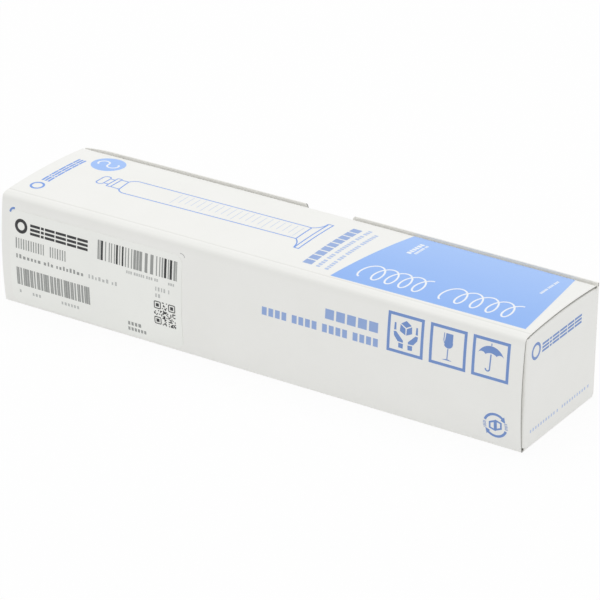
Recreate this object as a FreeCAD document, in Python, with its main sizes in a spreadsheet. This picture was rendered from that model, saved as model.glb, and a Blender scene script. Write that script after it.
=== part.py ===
import FreeCAD, Part
import Sketcher
import math
import os
import re

# Folding carton: one sheet of white board creased into a long tray with a hinged lid,
# and a paper label on its front. Length runs along X, the front faces -Y, the base is z = 0.

# Driving sizes in millimetres, angles in degrees
SIZES = {
    # overall form
    "carton_length": 200.0,
    "carton_depth": 47.0,
    "carton_height": 40.0,
    "board": 0.45,
    "fold_radius": 0.9,
    # front and back panels
    "front_bow": 1.3,
    "panel_step": 0.4,
    "hinge_drop": 1.05,
    "notch_width": 18.0,
    "notch_depth": 8.0,
    "notch_round": 1.0,
    # end walls with the tabs glued behind the long panels
    "tab_length": 18.0,
    "tab_ease": 4.0,
    "tab_foot": 1.6,
    "tab_head_gap": 0.2,
    "tab_slope": 2.5,
    "glue_bite": 0.1,
    # dust flaps folded in from the end walls
    "flap_length": 16.0,
    "flap_taper": 3.0,
    "flap_side_gap": 2.0,
    "flap_corner": 3.0,
    "lid_gap": 0.15,
    # lid with its soft front fold and its tuck flap
    "lid_rise": 0.55,
    "lid_arch": 0.8,
    "band_width": 4.2,
    "tuck_gap": 0.35,
    "tuck_length": 12.0,
    "tuck_lean": 7.5,
    "tuck_short": 1.5,
    "tuck_corner": 6.0,
    # paper label
    "label_inset": 3.9,
    "label_width": 69.5,
    "label_foot": 1.3,
    "label_height": 33.6,
    "label_corner": 3.0,
    "label_paper": 0.12,
    "label_glue": 0.02,
}

# Formulas that several outlines share
HALF_LENGTH = "carton_length / 2"
HALF_DEPTH = "carton_depth / 2"
HINGE = "(carton_height - hinge_drop)"
PANEL_END = f"({HALF_LENGTH} - panel_step)"
FOLD_END = f"({HALF_LENGTH} - fold_radius)"
BOW_HALF = f"(({HINGE} - fold_radius) / 2)"
BOW_RADIUS = f"(({BOW_HALF}^2 + front_bow^2) / (2 * front_bow))"
BOW_MIDDLE = f"(({HINGE} + fold_radius) / 2)"
LID_TOP = f"({HINGE} + lid_rise)"
FLAP_TOP = f"({LID_TOP} - board - lid_gap)"
CROWN_FOOT = f"({FLAP_TOP} - fold_radius)"
TAB_FACE = f"({HALF_DEPTH} - board + glue_bite)"
TAB_HEAD = f"({HINGE} - tab_head_gap)"
WRAP_HALF = f"({TAB_FACE} - fold_radius)"
FLAP_HALF = f"({WRAP_HALF} - flap_side_gap)"
TUCK_BACK = f"({TAB_FACE} - board - tuck_gap)"
TUCK_CENTRE = f"({TUCK_BACK} - fold_radius)"
BAND_END = f"(-{HALF_DEPTH} + band_width)"
ARCH_HALF = f"(({TUCK_CENTRE} - {BAND_END}) / 2)"
ARCH_RADIUS = f"(({ARCH_HALF}^2 + lid_arch^2) / (2 * lid_arch))"
ARCH_LEAN = f"asin({ARCH_HALF} / {ARCH_RADIUS})"
BAND_TURN = f"(2 * (atan(lid_rise / band_width) - {ARCH_LEAN}))"
BAND_RADIUS = f"(sqrt(band_width^2 + lid_rise^2) / (2 * sin({BAND_TURN} / 2)))"
CROWN_TOP = f"({FLAP_TOP} + lid_arch)"
CROWN_AXIS = f"({CROWN_TOP} - {ARCH_RADIUS})"
LABEL_FACE = f"(-{HALF_DEPTH} - label_glue)"

doc = FreeCAD.newDocument("folding_carton")
sheet = doc.addObject("Spreadsheet::Sheet", "Sizes")
for row, (alias, number) in enumerate(SIZES.items(), start=1):
    sheet.set(f"A{row}", alias)
    sheet.set(f"B{row}", str(number))
    sheet.setAlias(f"B{row}", alias)
doc.recompute()


def bound(formula):
    """The formula with every size name pointing at its cell."""
    return re.sub(r"[a-z_]+", lambda word: cell(word.group()), formula)


def cell(word):
    return f"Sizes.{word}" if word in SIZES else word


def value(formula):
    return float(sheet.evalExpression(bound(formula)))


def bow_at(height):
    """How far the front panel stands out at a height above the base."""
    return (
        f"(sqrt({BOW_RADIUS}^2 - ({height} - {BOW_MIDDLE})^2)"
        f" - ({BOW_RADIUS} - front_bow))"
    )


def new_body(name):
    body = doc.addObject("PartDesign::Body", name)
    body.Label = name
    body.Placement = FreeCAD.Placement()
    return body


def new_sketch(body, name, plane, lift="0"):
    """A sketch on one of the body's own origin planes, or lifted off it by a formula."""
    sketch = body.newObject("Sketcher::SketchObject", name)
    origin_plane = [f for f in body.Origin.OriginFeatures if f.Role == plane][0]
    sketch.AttachmentSupport = [(origin_plane, "")]
    sketch.MapMode = "FlatFace"
    sketch.setExpression("AttachmentOffset.Base.z", bound(lift))
    return sketch


def arc_between(start, end, radius, turn):
    """The short arc from start to end: turn is 1 anticlockwise and -1 clockwise."""
    chord = end - start
    left = FreeCAD.Vector(-chord.y, chord.x, 0).normalize()
    reach = math.sqrt(max(radius ** 2 - (chord.Length / 2) ** 2, 0))
    centre = (start + end) / 2 + left * reach * turn
    first, last = (start, end) if turn > 0 else (end, start)
    first_angle = math.atan2(first.y - centre.y, first.x - centre.x)
    last_angle = math.atan2(last.y - centre.y, last.x - centre.x)
    if last_angle < first_angle:
        last_angle += 2 * math.pi
    circle = Part.Circle(centre, FreeCAD.Vector(0, 0, 1), radius)
    return Part.ArcOfCircle(circle, first_angle, last_angle)


def bind(sketch, constraint, formula):
    index = sketch.addConstraint(constraint)
    sketch.setExpression(f"Constraints[{index}]", bound(formula))


def draw_outline(sketch, corners, bends=None):
    """Closes an outline through the corners, each a pair of formulas.

    bends gives the radius formula and the turn of each side that is an arc,
    under the number of the corner where it starts.
    """
    bends = bends or {}
    points = [FreeCAD.Vector(value(across), value(up), 0) for across, up in corners]
    sides = []
    for number, start in enumerate(points):
        end = points[(number + 1) % len(points)]
        if number in bends:
            radius, turn = bends[number]
            side = sketch.addGeometry(arc_between(start, end, value(radius), turn))
            bind(sketch, Sketcher.Constraint("Radius", side, value(radius)), radius)
            sides.append((side, 1, 2) if turn > 0 else (side, 2, 1))
        else:
            sides.append((sketch.addGeometry(Part.LineSegment(start, end)), 1, 2))
    for number, (side, start_end, _) in enumerate(sides):
        before, _, before_end = sides[number - 1]
        sketch.addConstraint(
            Sketcher.Constraint("Coincident", before, before_end, side, start_end))
        across, up = corners[number]
        bind(sketch, Sketcher.Constraint("DistanceX", side, start_end, points[number].x), across)
        bind(sketch, Sketcher.Constraint("DistanceY", side, start_end, points[number].y), up)


def draw_rectangle(sketch, left, right, low, high):
    draw_outline(sketch, [(left, low), (right, low), (right, high), (left, high)])


def draw_turning_line(sketch, length, level):
    """A construction line along the sketch's first direction, to turn its outlines about."""
    start = FreeCAD.Vector(0, value(level), 0)
    end = FreeCAD.Vector(value(length), value(level), 0)
    line = sketch.addGeometry(Part.LineSegment(start, end), True)
    sketch.addConstraint(Sketcher.Constraint("Horizontal", line))
    bind(sketch, Sketcher.Constraint("DistanceX", line, 1, start.x), "0")
    bind(sketch, Sketcher.Constraint("DistanceX", line, 2, end.x), length)
    bind(sketch, Sketcher.Constraint("DistanceY", line, 1, start.y), level)


def pad(body, sketch, name, length, midplane=True):
    feature = body.newObject("PartDesign::Pad", name)
    feature.Profile = sketch
    feature.setExpression("Length", bound(length))
    feature.SideType = "Symmetric" if midplane else "One side"
    doc.recompute()
    return feature


def pocket(body, sketch, name, both_sides=False, upwards=False):
    """Cuts right through the body, behind the sketch, before it or to both sides."""
    before = body.Shape.Volume
    feature = body.newObject("PartDesign::Pocket", name)
    feature.Profile = sketch
    feature.Type = "ThroughAll"
    feature.SideType = "Symmetric" if both_sides else "One side"
    feature.Reversed = upwards
    doc.recompute()
    if body.Shape.Volume > before - 0.001:
        raise RuntimeError(f"{name} cuts nothing")
    return feature


def loft(body, name, first, last):
    feature = body.newObject("PartDesign::AdditiveLoft", name)
    feature.Profile = first
    feature.Sections = [last]
    feature.Ruled = True
    doc.recompute()
    return feature


def fillet(body, name, radius, chosen):
    """Rounds the edges that the test picks by their middle point and direction."""
    solid = body.Tip
    edges = []
    for number, edge in enumerate(solid.Shape.Edges, start=1):
        if edge.Curve.TypeId == "Part::GeomLine" and chosen(edge.CenterOfMass, edge.Curve.Direction):
            edges.append(f"Edge{number}")
    if not edges:
        raise RuntimeError(f"{name} finds no edges")
    feature = body.newObject("PartDesign::Fillet", name)
    feature.Base = (solid, edges)
    feature.setExpression("Radius", bound(radius))
    doc.recompute()
    return feature


# Carton body: first the end walls' wrap round the corners, ending in tabs behind the long panels
carton = new_body("carton_body")

wrap_section = new_sketch(carton, "wrap_section", "XY_Plane", lift="tab_foot")
for side, turn in (("", 1), ("-", -1)):
    draw_outline(
        wrap_section,
        [
            (f"{side}{FOLD_END}", f"-{TAB_FACE}"),
            (f"{side}{HALF_LENGTH}", f"-{WRAP_HALF}"),
            (f"{side}{HALF_LENGTH}", WRAP_HALF),
            (f"{side}{FOLD_END}", TAB_FACE),
            (f"{side}({HALF_LENGTH} - tab_length)", TAB_FACE),
            (f"{side}({HALF_LENGTH} - tab_length)", f"{TAB_FACE} - board"),
            (f"{side}{FOLD_END}", f"{TAB_FACE} - board"),
            (f"{side}({HALF_LENGTH} - board)", WRAP_HALF),
            (f"{side}({HALF_LENGTH} - board)", f"-{WRAP_HALF}"),
            (f"{side}{FOLD_END}", f"-{TAB_FACE} + board"),
        ],
        {
            0: ("fold_radius", turn),
            2: ("fold_radius", turn),
            6: ("fold_radius - board", -turn),
            8: ("fold_radius - board", -turn),
        },
    )
pad(carton, wrap_section, "wrapped_ends", f"{TAB_HEAD} - tab_foot", midplane=False)

# The front tabs leave their straight fold and ease into the bow of the panel they are glued to
def bowed_tab_section(name, reach):
    section = new_sketch(carton, name, "YZ_Plane", lift=reach)
    draw_outline(
        section,
        [
            (f"-{TAB_FACE} - {bow_at(TAB_HEAD)}", TAB_HEAD),
            (f"-{TAB_FACE} - {bow_at('tab_foot')}", "tab_foot"),
            (f"-{TAB_FACE} - {bow_at('tab_foot')} + board", "tab_foot"),
            (f"-{TAB_FACE} - {bow_at(TAB_HEAD)} + board", TAB_HEAD),
        ],
        {0: (BOW_RADIUS, 1), 2: (BOW_RADIUS, -1)},
    )
    return section


for side, where in (("", "right"), ("-", "left")):
    fold_line = new_sketch(carton, f"{where}_tab_fold", "YZ_Plane", lift=f"{side}{FOLD_END}")
    draw_rectangle(fold_line, f"-{TAB_FACE}", f"-{TAB_FACE} + board", "tab_foot", TAB_HEAD)
    eased = bowed_tab_section(f"{where}_tab_eased", f"{side}({FOLD_END} - tab_ease)")
    free = bowed_tab_section(f"{where}_tab_free", f"{side}({HALF_LENGTH} - tab_length)")
    loft(carton, f"{where}_tab_ease", fold_line, eased)
    loft(carton, f"{where}_front_tab", eased, free)

# The tabs narrow towards their free ends, above and below
tab_slopes = new_sketch(carton, "tab_slopes", "XZ_Plane")
for side in ("", "-"):
    for root, tip in (
        ("tab_foot", "tab_foot + tab_slope"),
        (TAB_HEAD, f"{TAB_HEAD} - tab_slope"),
    ):
        draw_outline(
            tab_slopes,
            [
                (f"{side}{FOLD_END}", root),
                (f"{side}({HALF_LENGTH} - tab_length)", tip),
                (f"{side}({HALF_LENGTH} - tab_length)", root),
            ],
        )
pocket(carton, tab_slopes, "sloped_tabs", both_sides=True)

# Between its corners the wrap stops where the end wall's top fold begins
crown_seat = new_sketch(carton, "crown_seat", "YZ_Plane")
draw_rectangle(
    crown_seat,
    f"-{FLAP_HALF} + board",
    f"{FLAP_HALF} - board",
    CROWN_FOOT,
    f"{TAB_HEAD} + board",
)
pocket(carton, crown_seat, "crown_seats", both_sides=True)

# Base with its folds along the front and the back
base_section = new_sketch(carton, "base_section", "YZ_Plane")
draw_outline(
    base_section,
    [
        (f"-{HALF_DEPTH}", "fold_radius"),
        (f"-{HALF_DEPTH} + fold_radius", "0"),
        (f"{HALF_DEPTH} - fold_radius", "0"),
        (HALF_DEPTH, "fold_radius"),
        (f"{HALF_DEPTH} - board", "fold_radius"),
        (f"{HALF_DEPTH} - fold_radius", "board"),
        (f"-{HALF_DEPTH} + fold_radius", "board"),
        (f"-{HALF_DEPTH} + board", "fold_radius"),
    ],
    {
        0: ("fold_radius", 1),
        2: ("fold_radius", 1),
        4: ("fold_radius - board", -1),
        6: ("fold_radius - board", -1),
    },
)
pad(carton, base_section, "base_and_folds", f"2 * {FOLD_END}")

# The front panel bows outwards between its two folds, and the back panel is flat
wall_section = new_sketch(carton, "wall_section", "YZ_Plane")
draw_outline(
    wall_section,
    [
        (f"-{HALF_DEPTH}", HINGE),
        (f"-{HALF_DEPTH}", "fold_radius"),
        (f"-{HALF_DEPTH} + board", "fold_radius"),
        (f"-{HALF_DEPTH} + board", HINGE),
    ],
    {0: (BOW_RADIUS, 1), 2: (BOW_RADIUS, -1)},
)
draw_rectangle(wall_section, f"{HALF_DEPTH} - board", HALF_DEPTH, "fold_radius", "carton_height")
pad(carton, wall_section, "front_and_back_panels", f"2 * {PANEL_END}")

# Each end wall rises from its fold at the base
end_section = new_sketch(carton, "end_section", "XZ_Plane")
for side, turn in (("", 1), ("-", -1)):
    draw_outline(
        end_section,
        [
            (f"{side}{FOLD_END}", "0"),
            (f"{side}{HALF_LENGTH}", "fold_radius"),
            (f"{side}{HALF_LENGTH}", CROWN_FOOT),
            (f"{side}({HALF_LENGTH} - board)", CROWN_FOOT),
            (f"{side}({HALF_LENGTH} - board)", "fold_radius"),
            (f"{side}{FOLD_END}", "board"),
        ],
        {0: ("fold_radius", turn), 4: ("fold_radius - board", -turn)},
    )
pad(carton, end_section, "end_walls", f"2 * {WRAP_HALF}")

# Its top turns in over the tray as a dust flap that springs up a little under the lid, so
# the fold and the flap are turned through a few degrees about a line far below the lid
crown_section = new_sketch(carton, "crown_section", "XZ_Plane")
for side, turn in (("", 1), ("-", -1)):
    draw_outline(
        crown_section,
        [
            (f"{side}{HALF_LENGTH}", f"{CROWN_FOOT} - lid_arch"),
            (f"{side}{HALF_LENGTH}", f"{CROWN_TOP} - fold_radius"),
            (f"{side}{FOLD_END}", CROWN_TOP),
            (f"{side}({HALF_LENGTH} - flap_length)", CROWN_TOP),
            (f"{side}({HALF_LENGTH} - flap_length)", f"{CROWN_TOP} - board"),
            (f"{side}{FOLD_END}", f"{CROWN_TOP} - board"),
            (f"{side}({HALF_LENGTH} - board)", f"{CROWN_TOP} - fold_radius"),
            (f"{side}({HALF_LENGTH} - board)", f"{CROWN_FOOT} - lid_arch"),
        ],
        {1: ("fold_radius", turn), 5: ("fold_radius - board", -turn)},
    )
draw_turning_line(crown_section, HALF_LENGTH, CROWN_AXIS)
crowns = carton.newObject("PartDesign::Revolution", "crowns_and_dust_flaps")
crowns.Profile = crown_section
crowns.ReferenceAxis = (crown_section, ["Axis0"])
crowns.Midplane = True
crowns.setExpression("Angle", bound(f"2 * asin({FLAP_HALF} / {ARCH_RADIUS})"))
doc.recompute()

# The dust flaps taper to a free edge with rounded corners
flap_sides = new_sketch(carton, "flap_sides", "XY_Plane", lift=f"{CROWN_FOOT} - lid_arch")
for side in ("", "-"):
    for hand in ("", "-"):
        draw_outline(
            flap_sides,
            [
                (f"{side}{FOLD_END}", f"{hand}{FLAP_HALF}"),
                (f"{side}({HALF_LENGTH} - flap_length)", f"{hand}({FLAP_HALF} - flap_taper)"),
                (f"{side}({HALF_LENGTH} - flap_length)", f"{hand}{FLAP_HALF}"),
            ],
        )
pocket(carton, flap_sides, "tapered_flaps", upwards=True)

flap_edge = value(f"{HALF_LENGTH} - flap_length")
flap_low = value(CROWN_FOOT)
fillet(
    carton,
    "dust_flap_corners",
    "flap_corner",
    lambda middle, way: abs(way.z) > 0.99
    and abs(abs(middle.x) - flap_edge) < 0.01
    and middle.z > flap_low,
)

# Thumb notch at the middle of the back panel's free edge
notch_outline = new_sketch(carton, "notch_outline", "XZ_Plane")
draw_outline(
    notch_outline,
    [
        ("-notch_width / 2", "carton_height + board"),
        ("-notch_width / 2", "carton_height"),
        ("notch_width / 2", "carton_height"),
        ("notch_width / 2", "carton_height + board"),
    ],
    {1: ("((notch_width / 2)^2 + notch_depth^2) / (2 * notch_depth)", 1)},
)
pocket(carton, notch_outline, "thumb_notch")

notch_side = value("notch_width / 2")
rim_level = value("carton_height")
fillet(
    carton,
    "notch_shoulders",
    "notch_round",
    lambda middle, way: abs(way.y) > 0.99
    and abs(abs(middle.x) - notch_side) < 0.01
    and abs(middle.z - rim_level) < 0.01,
)

# Lid: a soft fold at the hinge that runs smoothly into the slightly arched panel, and the
# tuck flap, which leans inwards so that it clears the back panel as the lid swings up
lid = new_body("lid")

BAND_CENTRE = f"({BAND_END} + {BAND_RADIUS} * sin({ARCH_LEAN}))"
BAND_DEPTH = f"({BAND_RADIUS} * cos({ARCH_LEAN}) - lid_rise + board)"
BAND_START = f"({BAND_CENTRE} - sqrt({BAND_RADIUS}^2 - {BAND_DEPTH}^2))"
lid_section = new_sketch(lid, "lid_section", "YZ_Plane")
draw_outline(
    lid_section,
    [
        (f"-{HALF_DEPTH}", HINGE),
        (BAND_START, HINGE),
        (BAND_END, f"{LID_TOP} - board"),
        (TUCK_CENTRE, f"{LID_TOP} - board"),
        (
            f"{TUCK_CENTRE} + (fold_radius - board) * cos(tuck_lean)",
            f"{LID_TOP} - fold_radius - (fold_radius - board) * sin(tuck_lean)",
        ),
        (
            f"{TUCK_CENTRE} + (fold_radius - board) * cos(tuck_lean)"
            " - tuck_length * sin(tuck_lean)",
            f"{LID_TOP} - fold_radius - (fold_radius - board) * sin(tuck_lean)"
            " - tuck_length * cos(tuck_lean)",
        ),
        (
            f"{TUCK_CENTRE} + fold_radius * cos(tuck_lean) - tuck_length * sin(tuck_lean)",
            f"{LID_TOP} - fold_radius - fold_radius * sin(tuck_lean)"
            " - tuck_length * cos(tuck_lean)",
        ),
        (
            f"{TUCK_CENTRE} + fold_radius * cos(tuck_lean)",
            f"{LID_TOP} - fold_radius - fold_radius * sin(tuck_lean)",
        ),
        (TUCK_CENTRE, LID_TOP),
        (BAND_END, LID_TOP),
    ],
    {
        1: (BAND_RADIUS, -1),
        2: (ARCH_RADIUS, -1),
        3: ("fold_radius - board", -1),
        7: ("fold_radius", 1),
        8: (ARCH_RADIUS, 1),
        9: (BAND_RADIUS, 1),
    },
)
pad(lid, lid_section, "panel_and_tuck_flap", f"2 * {PANEL_END}")

# The tuck flap is shorter than the panel, and its free corners are rounded
tuck_ends = new_sketch(lid, "tuck_ends", "XZ_Plane")
TUCK_TOP = f"({LID_TOP} - fold_radius)"
TUCK_FOOT = f"({TUCK_TOP} - tuck_length * cos(tuck_lean) - fold_radius * sin(tuck_lean))"
TUCK_SIDE = f"({PANEL_END} - tuck_short)"
for side, turn in (("", 1), ("-", -1)):
    draw_outline(
        tuck_ends,
        [
            (f"{side}({PANEL_END} + tuck_short)", TUCK_TOP),
            (f"{side}{TUCK_SIDE}", TUCK_TOP),
            (f"{side}{TUCK_SIDE}", f"{TUCK_FOOT} + tuck_corner"),
            (f"{side}({TUCK_SIDE} - tuck_corner)", TUCK_FOOT),
            (f"{side}({TUCK_SIDE} - tuck_corner)", f"{TUCK_FOOT} - fold_radius"),
            (f"{side}({PANEL_END} + tuck_short)", f"{TUCK_FOOT} - fold_radius"),
        ],
        {2: ("tuck_corner", -turn)},
    )
pocket(lid, tuck_ends, "tuck_flap_ends")

# Label: thin paper that follows the bow of the front panel
label = new_body("label")

LABEL_TOP = "(label_foot + label_height)"
label_section = new_sketch(label, "label_section", "YZ_Plane")
draw_outline(
    label_section,
    [
        (f"{LABEL_FACE} - {bow_at(LABEL_TOP)} - label_paper", LABEL_TOP),
        (f"{LABEL_FACE} - {bow_at('label_foot')} - label_paper", "label_foot"),
        (f"{LABEL_FACE} - {bow_at('label_foot')}", "label_foot"),
        (f"{LABEL_FACE} - {bow_at(LABEL_TOP)}", LABEL_TOP),
    ],
    {0: (BOW_RADIUS, 1), 2: (BOW_RADIUS, -1)},
)
pad(label, label_section, "paper", "carton_length")

# Cut to its width, with rounded corners, from the strip above
label_cut = new_sketch(label, "label_cut", "XZ_Plane")
LABEL_LEFT = f"(-{HALF_LENGTH} + label_inset)"
LABEL_RIGHT = f"({LABEL_LEFT} + label_width)"
draw_rectangle(
    label_cut,
    f"-{HALF_LENGTH} - board",
    f"{HALF_LENGTH} + board",
    "label_foot - board",
    f"{LABEL_TOP} + board",
)
draw_outline(
    label_cut,
    [
        (f"{LABEL_LEFT} + label_corner", "label_foot"),
        (f"{LABEL_RIGHT} - label_corner", "label_foot"),
        (LABEL_RIGHT, "label_foot + label_corner"),
        (LABEL_RIGHT, f"{LABEL_TOP} - label_corner"),
        (f"{LABEL_RIGHT} - label_corner", LABEL_TOP),
        (f"{LABEL_LEFT} + label_corner", LABEL_TOP),
        (LABEL_LEFT, f"{LABEL_TOP} - label_corner"),
        (LABEL_LEFT, "label_foot + label_corner"),
    ],
    {number: ("label_corner", 1) for number in (1, 3, 5, 7)},
)
pocket(label, label_cut, "rounded_corners", both_sides=True)

doc.recompute()
for item in doc.Objects:
    if {"Invalid", "Error"} & set(item.State):
        raise RuntimeError(f"{item.Label} failed: {item.State}")

pieces = [carton, lid, label]
for piece in pieces:
    shape = piece.Shape
    if shape.isNull() or not shape.isValid() or len(shape.Solids) != 1:
        raise RuntimeError(f"{piece.Label} is not one sound solid")

os.makedirs("parts", exist_ok=True)
for piece in pieces:
    piece.Shape.exportStep(f"parts/{piece.Label}.step")
    box = piece.Shape.BoundBox
    print(
        f"{piece.Label}: {piece.Shape.Volume:.0f} mm3, "
        f"{box.XLength:.2f} x {box.YLength:.2f} x {box.ZLength:.2f} mm, "
        f"z {box.ZMin:.2f} to {box.ZMax:.2f}"
    )
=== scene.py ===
# %% [markdown]
# # A printed folding carton
#
# The object is a long carton of white board for a piece of laboratory glass. It is cut flat from
# one sheet, printed, creased, and glued at its four corners. The lid hangs on the front panel and
# tucks in behind the back one. A paper label is stuck on the front.
#
# The lesson builds each sheet of board as a thin bent grid with its real thickness, then lays the
# print on it as films of ink. First the imported CAD model is loaded: its bodies carry the pieces.

# %% Load the imported model
import random
from math import asin, atan2, ceil, cos, degrees, pi, radians, sin, sqrt

import bmesh
import bpy
from mathutils import Matrix, Vector
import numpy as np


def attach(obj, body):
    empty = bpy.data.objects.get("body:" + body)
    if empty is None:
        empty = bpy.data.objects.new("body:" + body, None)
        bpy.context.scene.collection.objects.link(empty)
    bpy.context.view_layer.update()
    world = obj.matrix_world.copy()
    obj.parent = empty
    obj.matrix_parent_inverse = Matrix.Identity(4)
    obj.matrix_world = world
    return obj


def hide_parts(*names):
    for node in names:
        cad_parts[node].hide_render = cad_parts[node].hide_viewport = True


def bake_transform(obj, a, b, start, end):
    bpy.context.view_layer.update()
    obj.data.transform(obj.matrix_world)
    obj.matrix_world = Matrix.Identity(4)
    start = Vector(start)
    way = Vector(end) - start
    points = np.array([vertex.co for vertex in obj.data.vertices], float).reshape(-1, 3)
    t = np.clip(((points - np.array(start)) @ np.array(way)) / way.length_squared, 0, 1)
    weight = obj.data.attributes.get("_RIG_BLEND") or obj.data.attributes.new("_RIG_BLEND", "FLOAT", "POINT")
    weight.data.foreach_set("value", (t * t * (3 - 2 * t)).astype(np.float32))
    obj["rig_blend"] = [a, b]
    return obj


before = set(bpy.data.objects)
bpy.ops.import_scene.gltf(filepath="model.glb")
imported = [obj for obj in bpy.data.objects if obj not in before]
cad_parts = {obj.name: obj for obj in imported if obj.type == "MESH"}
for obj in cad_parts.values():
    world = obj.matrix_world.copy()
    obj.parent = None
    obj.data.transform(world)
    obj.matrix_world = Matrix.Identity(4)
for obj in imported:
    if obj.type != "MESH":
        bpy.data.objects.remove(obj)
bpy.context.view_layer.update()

# %% [markdown]
# ## Sizes
#
# A designer of cartons thinks in millimetres and in thicknesses of board, so every size here is in
# millimetres and is turned to metres only when a point goes into a mesh. The names follow those of
# the CAD model: the board is 0.45 mm thick, and its folds are rounded by twice that.

# %% Sizes of the carton
MM = 0.001
HALF_LENGTH = 100.0
HALF_DEPTH = 23.5
HEIGHT = 40.0
BOARD = 0.45
FOLD = 0.9
# the long panels are cut a little shorter than the carton
PANEL_END = 99.6
# where the folds of the end walls and of the long panels begin
FOLD_END = HALF_LENGTH - FOLD
FOLD_EDGE = HALF_DEPTH - FOLD

FRONT_BOW = 1.3
HINGE = 38.95
BOW_MIDDLE = (HINGE + FOLD) / 2
BOW_RADIUS = (((HINGE - FOLD) / 2) ** 2 + FRONT_BOW ** 2) / (2 * FRONT_BOW)

BAND_WIDTH = 3.6
BAND_RISE = 0.55
BAND_END = -HALF_DEPTH + BAND_WIDTH
TUCK_CENTRE = 21.45
LID_TOP = HINGE + BAND_RISE
LID_ARCH = 0.8
ARCH_CENTRE = (TUCK_CENTRE + BAND_END) / 2
ARCH_HALF = (TUCK_CENTRE - BAND_END) / 2
ARCH_RADIUS = (ARCH_HALF ** 2 + LID_ARCH ** 2) / (2 * LID_ARCH)
print(f"bow radius {BOW_RADIUS:.1f} mm, lid arch radius {ARCH_RADIUS:.1f} mm")

# %% [markdown]
# ## Bending a sheet of board
#
# Board bends in one direction at a time, so its shape is a line drawn from the side and pushed
# along its length. The line is a list of stations: a point, and the direction in which the
# printed side of the board faces there. `add_sheet` makes a flat grid with Blender's own operator
# and moves each vertex to its place on the bent sheet. The place of the board's other side goes
# into a vertex layer, so that sheets that meet at a crease can be merged first and get their
# thickness afterwards, all at once.

# %% Stations along a bent line
def spread(first, last, steps):
    """Evenly spaced numbers from first to last, both included."""
    return [first + (last - first) * step / steps for step in range(steps + 1)]


def heading(turn):
    """A vector one unit long at an angle in degrees."""
    return Vector((cos(radians(turn)), sin(radians(turn))))


def arc(centre, radius, first, last, steps):
    """Stations round an arc between two angles in degrees."""
    ways = [heading(turn) for turn in spread(first, last, steps)]
    return [(Vector(centre) + way * radius, way) for way in ways]


def straight(start, end, out, steps):
    """Stations along a straight run of board whose printed side faces one way."""
    start, end, out = Vector(start), Vector(end), Vector(out)
    return [(start.lerp(end, step / steps), out) for step in range(steps + 1)]


def join(*runs):
    """One line from several runs, each beginning where the last one ends."""
    line = list(runs[0])
    for run in runs[1:]:
        line += run[1:]
    return line


# %% Sheets of board and their thickness
# vertices nearer than this, in millimetres, become one
MERGED = 0.002


def new_board():
    """An empty mesh whose vertices remember the board's other side and how much painted shade they carry."""
    bm = bmesh.new()
    bm.verts.layers.float_vector.new("other side")
    bm.verts.layers.float.new("crease_shade")
    return bm


def add_sheet(bm, columns, rows, place, side=1):
    """Adds a grid whose vertices go where place(column, row) says.

    It gives a point on the printed side, the way the board faces there, and on the lid's fold
    also how much painted shade darkens it, from 0 to 1. A side of -1 mirrors the sheet to the left.
    """
    other_side = bm.verts.layers.float_vector["other side"]
    crease_shade = bm.verts.layers.float["crease_shade"]
    across, along = len(columns) - 1, len(rows) - 1
    grid = bmesh.ops.create_grid(bm, x_segments=across, y_segments=along, size=1)
    for vert in grid["verts"]:
        column = columns[round((vert.co.x + 1) / 2 * across)]
        row = rows[round((vert.co.y + 1) / 2 * along)]
        point, out, *darkening = place(column, row)
        point.x *= side
        out.x *= side
        vert.co = point * MM
        vert[other_side] = (point - out * BOARD) * MM
        vert[crease_shade] = darkening[0] if darkening else 0.0


def thicken(bm):
    """Merges the sheets and closes them to the board's thickness.

    Material 0 is the printed side, 1 the other side and 2 the cut edge.
    """
    bmesh.ops.remove_doubles(bm, verts=bm.verts[:], dist=MERGED * MM)
    other_side = bm.verts.layers.float_vector["other side"]
    made = bmesh.ops.extrude_face_region(
        bm, geom=bm.faces[:] + bm.edges[:], use_keep_orig=True)
    inner = {item for item in made["geom"] if isinstance(item, bmesh.types.BMVert)}
    for vert in inner:
        vert.co = vert[other_side]
    for face in bm.faces:
        depth = sum(vert in inner for vert in face.verts)
        face.material_index = 0 if depth == 0 else 1 if depth == len(face.verts) else 2
    bmesh.ops.recalc_face_normals(bm, faces=bm.faces[:])


# %% From a mesh to a piece
SHARP = radians(50)


def add_object(name, data):
    """A new object in the scene."""
    added = bpy.data.objects.new(name, data)
    bpy.context.scene.collection.objects.link(added)
    return added


def make_piece(name, bm, materials, body):
    """Makes the object, smooth but for its sharp edges, and lets it ride on a body."""
    for face in bm.faces:
        face.smooth = True
    for edge in bm.edges:
        edge.smooth = edge.calc_face_angle(0) < SHARP
    open_edges = sum(not edge.is_manifold for edge in bm.edges)
    mesh = bpy.data.meshes.new(name)
    bm.to_mesh(mesh)
    bm.free()
    for material in materials:
        mesh.materials.append(material)
    piece = add_object(name, mesh)
    if body:
        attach(piece, body)
    print(f"{name}: {len(mesh.polygons)} faces, {open_edges} open edges")
    return piece


# %% [markdown]
# ## Materials
#
# Every finish here lies on paper fibres, so they share one recipe and differ in its numbers: a
# colour that drifts slightly from place to place, a fine grain that changes the shine, and a
# relief of the same grain. `add_node` adds one node with its settings and links.

# %% Colours and nodes
def colour(code):
    """Linear colour from an sRGB hex code."""
    parts = [int(code[start:start + 2], 16) / 255 for start in (1, 3, 5)]
    linear = [part / 12.92 if part <= 0.04045 else ((part + 0.055) / 1.055) ** 2.4
              for part in parts]
    return (*linear, 1.0)


def add_node(tree, kind, inputs=None, **settings):
    """Adds a node; an input is given a value or another node's output."""
    node = tree.nodes.new(kind)
    for name, setting in settings.items():
        setattr(node, name, setting)
    for name, given in (inputs or {}).items():
        if isinstance(given, bpy.types.NodeSocket):
            tree.links.new(given, node.inputs[name])
        else:
            node.inputs[name].default_value = given
    return node


# the front and back edges of the lid's colour field
FADE_FROM, FADE_TO = -19.0, 22.0
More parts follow.
